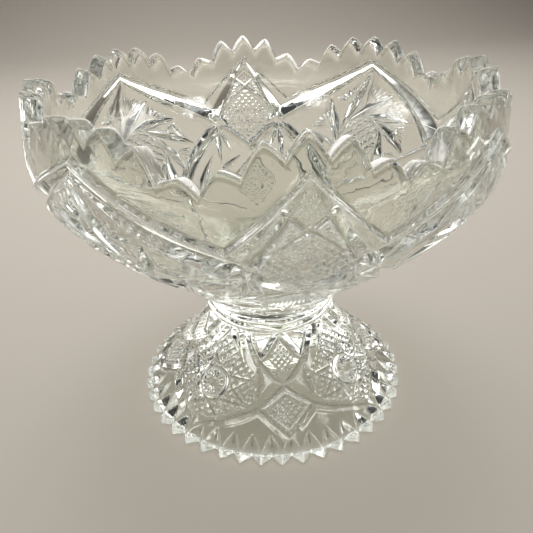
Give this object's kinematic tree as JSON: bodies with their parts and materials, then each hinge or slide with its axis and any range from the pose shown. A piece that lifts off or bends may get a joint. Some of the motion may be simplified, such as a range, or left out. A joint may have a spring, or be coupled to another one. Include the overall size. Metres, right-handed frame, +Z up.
{
  "type": "footed glass candy dish",
  "caption": "Round pressed-glass bowl with a scalloped sawtooth rim, joined by a glass wafer to a hollow flared foot with a toothed edge.",
  "frame": {"origin": "centre of the ring that the foot stands on, on the table plane", "axes": "+Z up along the axis of the bowl and foot; the middles of the four narrow diamond panels lie on +X, +Y, -X and -Y"},
  "size_m": [0.124, 0.124, 0.0993],
  "materials": {
    "clear_pressed_glass": "fire-polished clear pressed glass with a faint grey-green cast in the thick edges"
  },
  "bodies": {
    "root": {"bowl": "clear_pressed_glass", "joining_wafer": "clear_pressed_glass", "pedestal_foot": "clear_pressed_glass"}
  },
  "joints": []
}
